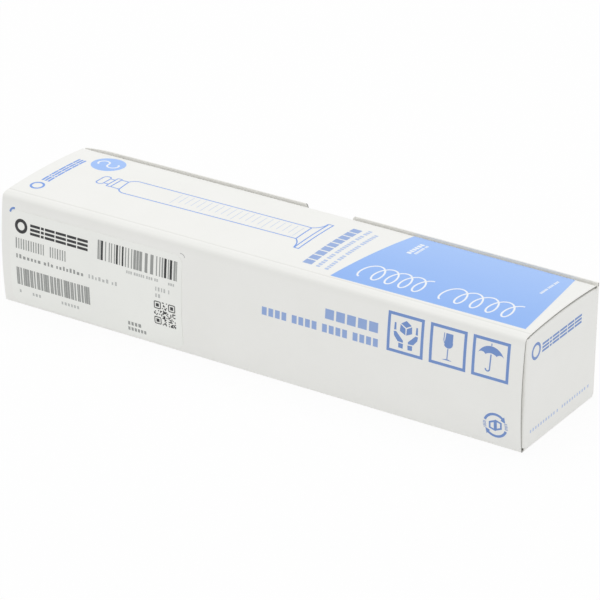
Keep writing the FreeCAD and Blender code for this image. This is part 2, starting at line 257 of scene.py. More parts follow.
# a noise texture keeps nearly all of its values between these two
NOISE_LOW, NOISE_HIGH = 0.3, 0.7


def paper_finish(name, main, drift, grain_mm, roughness, drift_mm=14.0, relief_mm=0.004,
                 fade=None, painted_crease_shade=None):
    """A finish on paper or board.

    main and drift are the colour and what it drifts to over patches of drift_mm. grain_mm is the
    size of the fibres or flecks, which move the roughness between two values and raise the
    surface by relief_mm. fade is a second colour that the first one pales to from the lid's front
    to its back. painted_crease_shade is a darker colour painted along a fold as painted shade.
    """
    material = bpy.data.materials.new(name)
    material.use_nodes = True
    tree = material.node_tree
    shader = tree.nodes["Principled BSDF"]
    shader.inputs["IOR"].default_value = 1.5
    place = add_node(tree, "ShaderNodeTexCoord")
    patches = add_node(
        tree, "ShaderNodeTexNoise",
        {"Vector": place.outputs["Object"], "Scale": 1 / (drift_mm * MM), "Detail": 3.0})
    layers = [(patches.outputs["Fac"], drift)]
    if fade:
        depth = add_node(tree, "ShaderNodeSeparateXYZ", {"Vector": place.outputs["Object"]})
        pale = add_node(
            tree, "ShaderNodeMapRange",
            {"Value": depth.outputs["Y"], "From Min": FADE_FROM * MM, "From Max": FADE_TO * MM})
        layers.append((pale.outputs["Result"], fade))
    # a darker colour along the lid's scored line and crease: painted shade
    if painted_crease_shade:
        crease_shade = add_node(tree, "ShaderNodeAttribute", attribute_name="crease_shade")
        layers.append((crease_shade.outputs["Fac"], painted_crease_shade))
    base = colour(main)
    for share, over in layers:
        mixed = add_node(
            tree, "ShaderNodeMix", {"Factor": share, "A": base, "B": colour(over)},
            data_type="RGBA")
        base = mixed.outputs["Result"]
    grain = add_node(
        tree, "ShaderNodeTexNoise",
        {"Vector": place.outputs["Object"], "Scale": 1 / (grain_mm * MM), "Detail": 4.0,
         "Roughness": 0.6})
    shine = add_node(
        tree, "ShaderNodeMapRange",
        {"Value": grain.outputs["Fac"], "From Min": NOISE_LOW, "From Max": NOISE_HIGH,
         "To Min": roughness[0], "To Max": roughness[1]})
    relief = add_node(
        tree, "ShaderNodeBump",
        {"Height": grain.outputs["Fac"], "Strength": 1.0, "Distance": relief_mm * MM})
    tree.links.new(base, shader.inputs["Base Color"])
    tree.links.new(shine.outputs["Result"], shader.inputs["Roughness"])
    tree.links.new(relief.outputs["Normal"], shader.inputs["Normal"])
    return material


def fine_print(name, main, drift):
    """Offset ink in lines and small words."""
    return paper_finish(name, main, drift, 0.5, drift_mm=4.0, roughness=(0.4, 0.5))


# %% The finishes
# Clay-coated carton board, calendered smooth: nearly white, with a soft sheen and a faint mottle
# where the coating lies thicker or thinner over the fibres. Along the lid's scored line and round
# its crease it is painted a little greyer: painted shade.
coated_board = paper_finish(
    "coated_carton_board", "#F4F4F1", "#F0F0EC", 0.5, roughness=(0.42, 0.5), painted_crease_shade="#D8D8D2")
# The uncoated back of the same board, of bleached fibre: white, matt and slightly rough.
raw_board = paper_finish(
    "uncoated_back_of_the_board", "#FAF9F5", "#F2F1EC", 0.35, drift_mm=3.0,
    roughness=(0.85, 0.95), relief_mm=0.02)
# Its cut edge shows the pressed plies, open and matt.
CUT_EDGE = {"grain_mm": 0.12, "drift_mm": 0.8, "roughness": (0.9, 1.0), "relief_mm": 0.03}
cut_board = paper_finish("cut_edge_of_the_board", "#F4F3EF", "#EAE9E4", **CUT_EDGE)
# The lid's cut edges and the steep ones of the back panel's rim are painted darker: painted
# shade for the narrow shadowed gaps beside them.
dark_edge_for_shade = paper_finish("cut_edge_painted_dark_for_shade", "#9C9B96", "#8B8A85", **CUT_EDGE)
# Matt self-adhesive label paper: a little warmer than the coating and without its sheen.
label_stock = paper_finish(
    "matt_label_paper", "#F7F8F4", "#F1F2EE", 0.3, roughness=(0.68, 0.76), relief_mm=0.006)
# Offset ink is a film of a micrometre or so that takes the sheen of the coating under it.
field_ink = paper_finish(
    "light_blue_offset_ink", "#8EB7F6", "#89B2F2", 0.5, roughness=(0.38, 0.48), fade="#A0C3FA")
# The same ink in fine lines is paler, since the board shows between them.
blue_ink = fine_print("blue_offset_ink", "#6E8FCB", "#7898D2")
words_ink = fine_print("blue_ink_of_the_captions", "#8FA9DA", "#99B2E0")
line_ink = fine_print("pale_blue_line_ink", "#7099E2", "#7BA3E8")
faint_ink = fine_print("faint_blue_line_ink", "#CBD6EA", "#D4DDEC")
pale_ink = fine_print("pale_ink_of_the_small_captions", "#B1C4E7", "#BBCCEB")
guide_grey = paper_finish(
    "grey_line_ink", "#B9BAB8", "#C2C3C1", 0.5, drift_mm=4.0, roughness=(0.42, 0.5))
# Where a drawing is left white in the ink, the coating itself shows.
reserved_white = paper_finish(
    "white_left_in_the_ink", "#F6F8FB", "#F0F4FA", 0.5, roughness=(0.42, 0.5))
# Thermal print has no film: the paper's own coating turns dark, and it wears unevenly.
thermal_black = paper_finish(
    "thermal_print_black", "#2A2B2C", "#3C3D3E", 0.3, drift_mm=2.5, roughness=(0.6, 0.7))
thermal_grey = paper_finish(
    "thermal_print_grey", "#939593", "#A3A5A3", 0.3, drift_mm=2.5, roughness=(0.62, 0.72))
thermal_pale = paper_finish(
    "thermal_print_faint", "#BBBDBB", "#C5C7C5", 0.3, drift_mm=2.5, roughness=(0.64, 0.74))
print(f"{len(bpy.data.materials)} materials")

# %% [markdown]
# ## The tray
#
# The tray is the carton without its front and lid: the base, the back panel with its thumb notch,
# and the two end walls. Each end wall folds up from the base, wraps round both corners into tabs
# that are glued behind the long panels, and turns in at its top as a dust flap. It could be cut
# from a box with a boolean, but the folds would then need their own bevels and the thin board its
# own offset. As sheets, each fold is simply a run of stations.

# %% The long free edges
# The notch is cut to a circle. A small round at each end leads from it to the level rim: it
# touches the circle at NOTCH_REACH from the middle, and the rim at SHOULDER_X.
NOTCH_HALF = 9.0
NOTCH_DEPTH = 8.0
SHOULDER = 1.0
NOTCH_RADIUS = (NOTCH_HALF ** 2 + NOTCH_DEPTH ** 2) / (2 * NOTCH_DEPTH)
NOTCH_CENTRE = HEIGHT - NOTCH_DEPTH + NOTCH_RADIUS
SHOULDER_X = sqrt((NOTCH_RADIUS + SHOULDER) ** 2 - (NOTCH_CENTRE - HEIGHT + SHOULDER) ** 2)
NOTCH_REACH = SHOULDER_X * NOTCH_RADIUS / (NOTCH_RADIUS + SHOULDER)
SHOULDER_TURN = degrees(asin(NOTCH_REACH / NOTCH_RADIUS))

# the free edges spring up most just left of their middle, and the rim droops at its left end
SPRING = 0.55
SPRING_LOSS = 0.35
SPRING_MIDDLE = -20.0
DROOP = 0.9
DROOP_LENGTH = 11.6


def swell(x):
    """How much the long lid and the back panel's edge spring up along their length."""
    return SPRING - SPRING_LOSS * ((x - SPRING_MIDDLE) / HALF_LENGTH) ** 2


def rim_height(x):
    """Height of the back panel's free edge: nearly level, with a thumb notch in its middle."""
    reach = abs(x)
    if reach >= SHOULDER_X:
        droop = DROOP * max((DROOP_LENGTH - PANEL_END - x) / DROOP_LENGTH, 0) ** 2
        return HEIGHT + swell(x) - droop
    if reach > NOTCH_REACH:
        rise = sqrt(max(SHOULDER ** 2 - (SHOULDER_X - reach) ** 2, 0))
        return HEIGHT - SHOULDER + rise + swell(x)
    return NOTCH_CENTRE - sqrt(NOTCH_RADIUS ** 2 - reach ** 2) + swell(x)


# %% Base and back panel
TAB_FACE = 23.15
WALL_END = TAB_FACE - FOLD
FLAP_HALF = 21.2
# a row between the dust flap's corner and the wall's own fold
CORNER_ROW = 21.7
# the height at the rim's top within which its steep cut edges are painted dark as shade
SHADED_RIM = 1.2

half_columns = [NOTCH_RADIUS * sin(radians(turn)) for turn in spread(0, SHOULDER_TURN, 9)]
for turn in spread(SHOULDER_TURN, 0, 5)[1:]:
    half_columns.append(SHOULDER_X - SHOULDER * sin(radians(turn)))
half_columns += spread(SHOULDER_X, PANEL_END, 30)[1:]
LONG_COLUMNS = [-x for x in reversed(half_columns)] + half_columns[1:]
FLAP_ROWS = spread(-FLAP_HALF, FLAP_HALF, 14)
WALL_ROWS = [-WALL_END, -CORNER_ROW] + FLAP_ROWS + [CORNER_ROW, WALL_END]

back_line = join(
    [(Vector((y, 0)), Vector((0, -1))) for y in [-FOLD_EDGE] + WALL_ROWS + [FOLD_EDGE]],
    arc((FOLD_EDGE, FOLD), FOLD, 270, 360, 6),
    straight((HALF_DEPTH, FOLD), (HALF_DEPTH, HEIGHT - SHADED_RIM), (1, 0), 16),
    straight((HALF_DEPTH, HEIGHT - SHADED_RIM), (HALF_DEPTH, HEIGHT), (1, 0), 2),
)


def place_on_back(x, station):
    """Base and back panel: the panel is longer than the base, and its rows follow its rim."""
    (y, z), (out_y, out_z) = station
    share = min(z / FOLD, 1.0)
    x *= (FOLD_END + (PANEL_END - FOLD_END) * share) / PANEL_END
    if z > FOLD:
        z = FOLD + (z - FOLD) * (rim_height(x) - FOLD) / (HEIGHT - FOLD)
    return Vector((x, y, z)), Vector((0, out_y, out_z))


tray = new_board()
add_sheet(tray, LONG_COLUMNS, back_line, place_on_back)
print(f"base and back: {len(tray.faces)} faces")

# %% End walls with their tabs and dust flaps
TAB_HEAD = HINGE - 0.2
TAB_FOOT = 1.6
TAB_SLOPE = 2.5
TAB_END = HALF_LENGTH - 18.0
TAB_EASE = 4.0
FLAP_EDGE = HALF_LENGTH - 16.0
FLAP_TAPER = 3.0
FLAP_CORNER = 3.0
CROWN = 38.8


def bow(z):
    """How far the front panel stands out at a height."""
    return sqrt(BOW_RADIUS ** 2 - (z - BOW_MIDDLE) ** 2) - (BOW_RADIUS - FRONT_BOW)


def arch_drop(y):
    """How far the end walls' tops drop below their middle, as the lid does above them."""
    return ARCH_RADIUS - sqrt(ARCH_RADIUS ** 2 - y ** 2)


def place_on_wrap(station, share):
    """Wall and tabs: share runs from 0 at the foot to 1 at the crown and 2 at the tab's head."""
    (x, y), (out_x, out_y) = station
    slope = TAB_SLOPE * min(max((FOLD_END - x) / (FOLD_END - TAB_END), 0), 1)
    seat = CROWN - arch_drop(min(abs(y), FLAP_HALF))
    if share <= 1:
        z = TAB_FOOT + slope + (seat - TAB_FOOT - 2 * slope) * share
    else:
        z = seat - slope + (TAB_HEAD - seat) * (share - 1)
    if y < 0:
        y -= bow(z) * min(max((FOLD_END - x) / TAB_EASE, 0), 1)
    return Vector((x, y, z)), Vector((out_x, out_y, 0))


def place_on_fold(station, y):
    """The fold between the base and an end wall."""
    (x, z), (out_x, out_z) = station
    return Vector((x, y, z)), Vector((out_x, 0, out_z))


def place_on_crown(station, y):
    """Top fold and dust flap, arched from side to side and tapered to rounded corners."""
    (x, z), (out_x, out_z) = station
    half = FLAP_HALF - FLAP_TAPER * max((FOLD_END - x) / (FOLD_END - FLAP_EDGE), 0)
    corner = FLAP_CORNER - (x - FLAP_EDGE)
    if corner > 0:
        half -= FLAP_CORNER - sqrt(FLAP_CORNER ** 2 - corner ** 2)
    y *= half / FLAP_HALF
    return Vector((x, y, z - arch_drop(y))), Vector((out_x, 0, out_z))


tab_run = spread(TAB_END, FOLD_END - TAB_EASE, 6) + spread(FOLD_END - TAB_EASE, FOLD_END, 3)[1:]
wrap_line = join(
    [(Vector((x, -TAB_FACE)), Vector((0, -1))) for x in tab_run],
    arc((FOLD_END, -WALL_END), FOLD, 270, 360, 5),
    [(Vector((HALF_LENGTH, y)), Vector((1, 0))) for y in WALL_ROWS],
    arc((FOLD_END, WALL_END), FOLD, 0, 90, 5),
    [(Vector((x, TAB_FACE)), Vector((0, 1))) for x in reversed(tab_run)],
)
# beside the dust flap the corners go on up to the heads of the tabs
back_corner = [station for station in wrap_line if station[0].y > FLAP_HALF - MERGED]
front_corner = [station for station in wrap_line if station[0].y < MERGED - FLAP_HALF]
base_fold = join(
    arc((FOLD_END, FOLD), FOLD, 270, 360, 5),
    straight((HALF_LENGTH, FOLD), (HALF_LENGTH, TAB_FOOT), (1, 0), 1),
)
corner_run = [FLAP_EDGE + FLAP_CORNER * (1 - cos(radians(turn))) for turn in spread(90, 0, 6)]
flap_run = spread(FOLD_END, FLAP_EDGE + FLAP_CORNER, 5) + corner_run[1:]
crown_line = join(
    arc((FOLD_END, CROWN), FOLD, 0, 90, 6),
    [(Vector((x, CROWN + FOLD)), Vector((0, 1))) for x in flap_run],
)

for side in (1, -1):
    add_sheet(tray, wrap_line, spread(0, 1, 12), place_on_wrap, side)
    add_sheet(tray, back_corner, [1, 2], place_on_wrap, side)
    add_sheet(tray, front_corner, [1, 2], place_on_wrap, side)
    add_sheet(tray, base_fold, WALL_ROWS, place_on_fold, side)
    add_sheet(tray, crown_line, FLAP_ROWS, place_on_crown, side)

thicken(tray)
# the steep cut edges of the rim, at both ends of the thumb notch and of the panel: painted shade
STEEP_NOTCH = SHOULDER_X - 0.3
STEEP_END = PANEL_END - 0.1
for face in tray.faces:
    middle = face.calc_center_median() / MM
    on_rim = middle.z > HINGE and middle.y > HALF_DEPTH - BOARD
    steep = abs(middle.x) < STEEP_NOTCH or abs(middle.x) > STEEP_END
    if face.material_index == 2 and on_rim and steep:
        face.material_index = 3
board_finishes = [coated_board, raw_board, cut_board, dark_edge_for_shade]
tray_board = make_piece("tray_board", tray, board_finishes, "carton")
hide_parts("carton_body")

# %% [markdown]
# ## Front panel and lid
#
# Front panel, soft fold, lid and tuck flap are one strip of board in the real carton, and so they
# are here. The panel bows outwards between its two folds. The lid's fold isn't sharp: the board
# springs back after creasing, so it rolls over the edge in a soft band that ends at a scored line.
# Then the lid arches a little, turns down at the back and leans inwards as the tuck flap.
#
# The strip crosses the hinge.

# %% The line of the strip from the side
BOW_CENTRE = Vector((-HALF_DEPTH + BOW_RADIUS - FRONT_BOW, BOW_MIDDLE))
CREASE_RADIUS = 1.6
TUCK_LEAN = 7.5
TUCK_LENGTH = 12.0
TUCK_SHORT = 1.5
TUCK_CORNER = 6.0
# the tuck flap is shorter than the lid from just below its fold
TUCK_STEP = 0.8
SCORE_DEPTH = 0.1
SCORE_WIDTH = 0.45
# how much painted shade darkens the scored line and the round of the crease, and the crease's reach
SCORE_SHADE = 0.5
CREASE_SHADE = 0.12
CREASE_REACH = 0.4
# the lid's spring begins just before the front panel
SPRING_START = -HALF_DEPTH - 1.5
# where the bottom fold touches the bowed panel
FOOT_EDGE = 22.59


def round_between(first, first_radius, second, second_radius, radius):
    """Centre of a small arc that rolls along the insides of two large ones, at their top."""
    a, b = first_radius - radius, second_radius - radius
    apart = second - first
    along = (a ** 2 - b ** 2 + apart.length_squared) / (2 * apart.length)
    up = sqrt(a ** 2 - along ** 2)
    way = apart.normalized()
    ends = [first + way * along + Vector((-way.y, way.x)) * up * hand for hand in (1, -1)]
    return max(ends, key=lambda end: end.y)


def angle_of(point, centre):
    return degrees(atan2(point.y - centre.y, point.x - centre.x)) % 360


foot_lean = degrees(asin((BOW_MIDDLE - FOLD) / (BOW_RADIUS - FOLD)))
foot_centre = (-FOOT_EDGE, FOLD)
arch_lean = degrees(asin(ARCH_HALF / ARCH_RADIUS))
arch_middle = (ARCH_CENTRE, LID_TOP + LID_ARCH - ARCH_RADIUS)
# the band leaves the arch in its own direction and reaches the front panel's top
band_turn = 2 * (atan2(BAND_RISE, BAND_WIDTH) - radians(arch_lean))
BAND_RADIUS = sqrt(BAND_WIDTH ** 2 + BAND_RISE ** 2) / (2 * sin(band_turn / 2))
BAND_CENTRE = Vector((BAND_END, LID_TOP)) + heading(arch_lean - 90) * BAND_RADIUS
crease = round_between(BOW_CENTRE, BOW_RADIUS, BAND_CENTRE, BAND_RADIUS, CREASE_RADIUS)
bow_top = angle_of(crease, BOW_CENTRE)
band_start = angle_of(crease, BAND_CENTRE)
tuck_out = heading(-TUCK_LEAN)
tuck_way = heading(-TUCK_LEAN - 90)
tuck_start = Vector((TUCK_CENTRE, LID_TOP - FOLD)) + tuck_out * FOLD
tuck_bend = TUCK_LENGTH - TUCK_CORNER

cover_line = join(
    straight((-FOLD_EDGE, 0), (-FOOT_EDGE, 0), (0, -1), 1),
    arc(foot_centre, FOLD, 270, 180 + foot_lean, 6),
    arc(BOW_CENTRE, BOW_RADIUS, 180 + foot_lean, bow_top, 20),
    arc(crease, CREASE_RADIUS, bow_top, band_start, 8),
    # the rows stand close together on both sides of the scored line
    arc(BAND_CENTRE, BAND_RADIUS, band_start, 91 + arch_lean, 6),
    arc(BAND_CENTRE, BAND_RADIUS, 91 + arch_lean, 90 + arch_lean, 6),
    arc(arch_middle, ARCH_RADIUS, 90 + arch_lean, 89.85 + arch_lean, 6),
    arc(arch_middle, ARCH_RADIUS, 89.85 + arch_lean, 90 - arch_lean, 18),
    arc((TUCK_CENTRE, LID_TOP - FOLD), FOLD, 90 - arch_lean, -TUCK_LEAN, 8),
    straight(tuck_start, tuck_start + tuck_way * tuck_bend, tuck_out, 4),
    [
        (tuck_start + tuck_way * (tuck_bend + TUCK_CORNER * sin(radians(turn))), tuck_out)
        for turn in spread(0, 90, 8)
    ],
)


def place_on_cover(x, station):
    """The strip, with its scored line and the tuck flap's shorter, rounded ends."""
    point, out = station
    at_top = point.y > HEIGHT / 2
    score = bend = down = 0
    if at_top:
        off_crease = (point - crease).length - CREASE_RADIUS
        score = max(1 - ((point.x - BAND_END) / SCORE_WIDTH) ** 2, 0) ** 2
        bend = max(1 - (off_crease / CREASE_REACH) ** 2, 0)
    point = point - out * SCORE_DEPTH * score
    if point.x > 0 and point.y < LID_TOP - FOLD:
        down = (point - tuck_start).dot(tuck_way)
    half = PANEL_END - TUCK_SHORT * min(down / TUCK_STEP, 1)
    corner = down - tuck_bend
    if corner > 0:
        half -= TUCK_CORNER - sqrt(max(TUCK_CORNER ** 2 - corner ** 2, 0))
    place = Vector((x * half / PANEL_END, *point))
    if at_top:
        place.z += swell(place.x) * min((point.x - SPRING_START) / BAND_WIDTH, 1)
    # the last value is the painted shade along the scored line and round the crease
    return place, Vector((0, *out)), max(SCORE_SHADE * score, CREASE_SHADE * bend)


cover = new_board()
add_sheet(cover, spread(-PANEL_END, PANEL_END, 80), cover_line, place_on_cover)
thicken(cover)
# the lid's whole cut edge takes the darker finish: painted shade for the gap beside it
cover_finishes = [coated_board, raw_board, dark_edge_for_shade]
cover_board = make_piece("cover_board", cover, cover_finishes, None)
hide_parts("lid")
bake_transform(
    cover_board, "carton", "lid",
    start=(0, -24.0 * MM, 37.5 * MM), end=(0, -21.5 * MM, 39.3 * MM))

# %% [markdown]
# ## Laying shapes on a surface
#
# Label and print are cut or printed flat and take the shape of what they lie on. So each is drawn
# flat in millimetres, cut into strips narrow enough to follow the curve, and wrapped as a thin
# closed film. A surface here is a function of two flat coordinates and a height above the board.

# %% Surfaces of the carton
def front_panel(x, z, lift):
    return Vector((x, -HALF_DEPTH - bow(z) - lift, z))


def lid_top(x, y, lift):
    """The arched lid, and past its back edge the round of the tuck fold."""
    past = y - TUCK_CENTRE
    if past > 0:
        turn = radians(90 - arch_lean) - past / FOLD
        centre = Vector((x, TUCK_CENTRE, LID_TOP - FOLD + swell(x)))
        return centre + Vector((0, cos(turn), sin(turn))) * (FOLD + lift)
    out = Vector((0, y - arch_middle[0], sqrt(ARCH_RADIUS ** 2 - (y - arch_middle[0]) ** 2)))
    return Vector((x, arch_middle[0], arch_middle[1] + swell(x))) + out * (1 + lift / ARCH_RADIUS)


def right_end(y, z, lift):
    return Vector((HALF_LENGTH + lift, y, z))


# %% Wrapping a film
def cut_at(flat, axis, places):
    """Cuts flat shapes across one of their coordinates, so that they can bend that way."""
    way = (1, 0, 0) if axis == 0 else (0, 1, 0)
    for place in places:
        bmesh.ops.bisect_plane(
            flat, geom=flat.verts[:] + flat.edges[:] + flat.faces[:], dist=1e-4,
            plane_co=Vector(way) * place, plane_no=way)


def strips(flat, axis, spacing):
    """Evenly spaced places for cuts, from one end of the flat shapes to the other."""
    reach = [vert.co[axis] for vert in flat.verts]
    return [number * spacing
            for number in range(ceil(min(reach) / spacing), ceil(max(reach) / spacing))]


# along the lid the board is nearly straight, so the strips there are wide
LID_SPACING = 10.0


def lay_film(name, flat, surface, material, low=-0.01, high=0.018, spacing=2.0):
    """Wraps flat shapes round a surface as a closed layer between two heights above it."""
    # what lies on the lid moves with it
    body = "lid" if surface is lid_top else "carton"
    cut_at(flat, 1, strips(flat, 1, spacing))
    if surface is lid_top:
        cut_at(flat, 0, strips(flat, 0, LID_SPACING))
        cut_at(flat, 1, spread(TUCK_CENTRE, TUCK_CENTRE + 0.5, 2))
    made = bmesh.ops.extrude_face_region(
        flat, geom=flat.faces[:] + flat.edges[:], use_keep_orig=True)
    below = {item for item in made["geom"] if isinstance(item, bmesh.types.BMVert)}
    for vert in flat.verts:
        vert.co = surface(vert.co.x, vert.co.y, low if vert in below else high) * MM
    bmesh.ops.recalc_face_normals(flat, faces=flat.faces[:])
    return make_piece(name, flat, [material], body)


# %% Flat shapes
def add_face(flat, outline):
    """A filled shape from the corners of its outline."""
    return flat.faces.new([flat.verts.new((x, y, 0)) for x, y in outline])


def add_bar(flat, left, low, right, high):
    middle = Matrix.Translation(((left + right) / 2, (low + high) / 2, 0))
    size = Matrix.Diagonal(((right - left) / 2, (high - low) / 2, 1, 1))
    bmesh.ops.create_grid(flat, x_segments=1, y_segments=1, size=1, matrix=middle @ size)


def add_ring(flat, x, y, radius, width):
    """A ring between two circles, bridged."""
    edges = []
    for size in (radius + width / 2, radius - width / 2):
        circle = bmesh.ops.create_circle(
            flat, radius=size, segments=48, matrix=Matrix.Translation((x, y, 0)))
        edges += {edge for vert in circle["verts"] for edge in vert.link_edges}
    bmesh.ops.bridge_loops(flat, edges=edges)


# at a sharp corner the mitre is cut short at this share
MITRE_LIMIT = 0.4


def add_stroke(flat, points, width, closed=False):
    """A line of even width: a chain of edges, extruded sideways with mitred corners."""
    points = [Vector((x, y, 0)) for x, y in points]
    count = len(points)
    sideways = []
    for number, point in enumerate(points):
        before = points[number - 1] if number or closed else point
        after = points[(number + 1) % count] if closed or number < count - 1 else point
        ways = [way.normalized() for way in (point - before, after - point) if way.length > 1e-6]
        way = (ways[0] + ways[-1]).normalized()
        side = Vector((-way.y, way.x, 0))
        sideways.append(side * width / 2 / max(way.dot(ways[0]), MITRE_LIMIT))
    near = [flat.verts.new(point - side) for point, side in zip(points, sideways)]
    last = count if closed else count - 1
    chain = [flat.edges.new((near[n], near[(n + 1) % count])) for n in range(last)]
    made = bmesh.ops.extrude_edge_only(flat, edges=chain)
    far = [item for item in made["geom"] if isinstance(item, bmesh.types.BMVert)]
    for vert in far:
        start = min(range(count), key=lambda n: (near[n].co - vert.co).length)
        vert.co = points[start] + sideways[start]


def rounded(left, low, right, high, radius, steps=6):
    """Corners of a rectangle with rounded corners, anticlockwise."""
    outline = []
    corners = [(right - radius, high - radius, 0), (left + radius, high - radius, 90),
               (left + radius, low + radius, 180), (right - radius, low + radius, 270)]
    for x, y, first in corners:
        outline += [station[0] for station in arc((x, y), radius, first, first + 90, steps)]
    return outline


# %% [markdown]
# ## The label
#
# The label is matt paper, stuck on after the carton was folded, with rounded corners from its
# die. It is drawn flat and wrapped on the front panel like the print, but it has a thickness that
# can be seen at its edge.

# %% Label
LABEL = (-96.1, 1.3, -26.6, 34.9)
LABEL_TOP = 0.14
# the label and its print are cut at the same places, so that they bend alike
LABEL_SPACING = 1.7
label_flat = bmesh.new()
add_face(label_flat, rounded(*LABEL, 3.0, steps=8))
label_paper = lay_film(
    "label_paper", label_flat, front_panel, label_stock,
    low=0.02, high=LABEL_TOP, spacing=LABEL_SPACING)
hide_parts("label")

# %% [markdown]
# ## The print on the lid
#
# The carton is printed in one light blue, solid or as fine lines. The real print was made flat,
# before creasing, so nothing in it is raised: each film stands 0.02 mm off the board, just enough
# for the renderer to tell the two apart. Words are printed as plain blocks, so the carton keeps
# the look of its captions and names nobody.

# %% Curved outlines and blocks for words
def arc_through(start, middle, end, steps):
    """Points on the circle through three points, from the first to the last."""
    ax, ay = middle[0] - start[0], middle[1] - start[1]
    bx, by = end[0] - start[0], end[1] - start[1]
    size = 2 * (ax * by - ay * bx)
    cx = (by * (ax ** 2 + ay ** 2) - ay * (bx ** 2 + by ** 2)) / size
    cy = (ax * (bx ** 2 + by ** 2) - bx * (ax ** 2 + ay ** 2)) / size
    first = atan2(-cy, -cx)
    turn = atan2(by - cy, bx - cx) - first
    if (size > 0) != (turn > 0):
        turn += 2 * pi if size > 0 else -2 * pi
    radius = sqrt(cx ** 2 + cy ** 2)
    return [
        (start[0] + cx + radius * cos(way), start[1] + cy + radius * sin(way))
        for way in spread(first, first + turn, steps)
    ]


# the gap between two stripes as a share of a stripe; blocks and their gaps as shares of the row
STRIPE_GAP = 0.6
BLOCKS = (0.17, 0.05, 0.17, 0.18, 0.16, 0.18)
BLOCK_GAP = 0.018


def add_block(flat, x, y, start, low, width, height, turned):
    """A bar in a row that runs from x, y to the right or, turned, upwards."""
    if turned:
        add_bar(flat, x - low - height, y + start, x - low, y + start + width)
    else:
        add_bar(flat, x + start, y + low, x + start + width, y + low + height)


def add_words(flat, x, y, length, height, seed, turned=False, gap=0.2, word=(3, 8),
              widths=(0.6, 0.8), low=1.0):
    """A line of print with no letters in it: blocks in groups as long as words.

    gap, widths and low are shares of the height: the gap between blocks, the least and greatest
    width, and how tall two blocks in three are.
    """
    chance = random.Random(seed)
    start = 0.0
    left_in_word = chance.randint(*word)
    while True:
        width = height * chance.uniform(*widths)
        if start + width > length:
            break
        tall = height * chance.choice((low, low, 1.0))
        add_block(flat, x + height if turned else x, y, start, 0, width, tall, turned)
        start += width + height * gap
        left_in_word -= 1
        if left_in_word == 0:
            left_in_word = chance.randint(*word)
            start += height * 0.5


def add_striped_row(flat, x, y, length, height, turned=False):
    """A made-up mark: six blocks side by side, each cut into three stripes."""
    stripe = height / (3 + 2 * STRIPE_GAP)
    start = 0.0
    for share in BLOCKS:
        for number in range(3):
            low = number * stripe * (1 + STRIPE_GAP)
            add_block(flat, x, y, start, low, share * length, stripe, turned)
        start += (share + BLOCK_GAP) * length


# %% Colour field
# It runs over the round of the tuck fold and ends where the fold turns out of sight.
field = bmesh.new()
left_side = arc_through((33.1, 22.05), (29.7, 0.6), (26.6, -19.1), 20)
right_side = arc_through((96.5, -18.2), (95.3, -2.0), (92.05, 22.05), 20)
add_face(field, left_side + right_side)
lay_film("lid_colour_field", field, lid_top, field_ink)

# %% Ornament left white in the field
ornament = bmesh.new()
# two runs of a looping line, four and a half turns each, as a pen makes them
for first, pitch in ((34.6, 5.0), (64.2, 5.6)):
    line = []
    for turns in spread(0, 4.5, 108):
        x = first + pitch * turns - 2.6 * sin(2 * pi * turns)
        line.append((x, -10.4 - 4.6 * cos(2 * pi * turns)))
    add_stroke(ornament, line, 0.62)
add_words(ornament, 38.3, 7.8, 10.6, 1.6, 11, turned=True, gap=0.3)
add_words(ornament, 40.6, 8.6, 8.4, 1.0, 12, turned=True, gap=0.3)
add_words(ornament, 88.2, 5.4, 11.8, 0.9, 13, turned=True, gap=0.3)
lay_film("lid_white_ornament", ornament, lid_top, reserved_white, low=0.0, high=0.03)

# %% Line drawing of a stoppered measuring cylinder
drawing = bmesh.new()
LINE = 0.45
shoulder_up = arc_through((-68.15, 4.8), (-66.55, 6.6), (-64.25, 7.0), 6)
shoulder_down = arc_through((-67.45, -1.85), (-66.15, -3.3), (-63.95, -3.85), 6)
foot_up = arc_through((2.9, 7.3), (4.8, 9.2), (5.55, 13.0), 6)
foot_down = arc_through((3.2, -2.8), (5.2, -5.3), (5.95, -8.3), 6)
# stopper and its collar, and the base plate
for outline in (
    rounded(-77.6, -1.6, -74.8, 4.8, 1.3),
    rounded(-72.85, -1.8, -71.15, 5.3, 0.3),
    [(5.85, 13.1), (7.5, 13.1), (7.9, -8.6), (6.25, -8.6)],
):
    add_stroke(drawing, outline, LINE, closed=True)
# the stopper's stem, both sides of the vessel, its neck line and its foot line: each stops short
# of the line that it meets, so that no two of them overlap
for points in (
    [(-74.5, 3.6), (-73.1, 3.6)],
    [(-74.5, -0.4), (-73.1, -0.4)],
    [(-70.9, 4.8), *shoulder_up, *foot_up],
    [(-70.9, -1.7), *shoulder_down, *foot_down],
    [(-68.15, 4.55), (-67.45, -1.6)],
    [(2.9, 7.05), (3.2, -2.55)],
):
    add_stroke(drawing, points, LINE)
lay_film("lid_cylinder_drawing", drawing, lid_top, line_ink)

scale = bmesh.new()
for number in range(21):
    x = -47.0 + 2.4 * number
    reach = -1.9 if number % 5 == 0 else -0.2
    add_stroke(scale, [(x - 0.1, 5.9), (x + 0.1, reach)], 0.28)
lay_film("lid_drawing_scale", scale, lid_top, faint_ink)

# %% Badge, captions and the mark at the lid's left end
badge = bmesh.new()
bmesh.ops.create_circle(
    badge, cap_ends=True, radius=6.05, segments=56, matrix=Matrix.Translation((-83.1, 13.9, 0)))
lay_film("lid_badge", badge, lid_top, field_ink)
badge_wave = bmesh.new()
crest = arc_through((-86.3, 12.5), (-84.5, 16.1), (-83.1, 13.9), 8)
trough = arc_through((-83.1, 13.9), (-81.7, 11.7), (-79.9, 15.3), 8)
add_stroke(badge_wave, crest + trough[1:], 0.65)
lay_film("lid_badge_ring", badge_wave, lid_top, reserved_white, low=0.0, high=0.03)

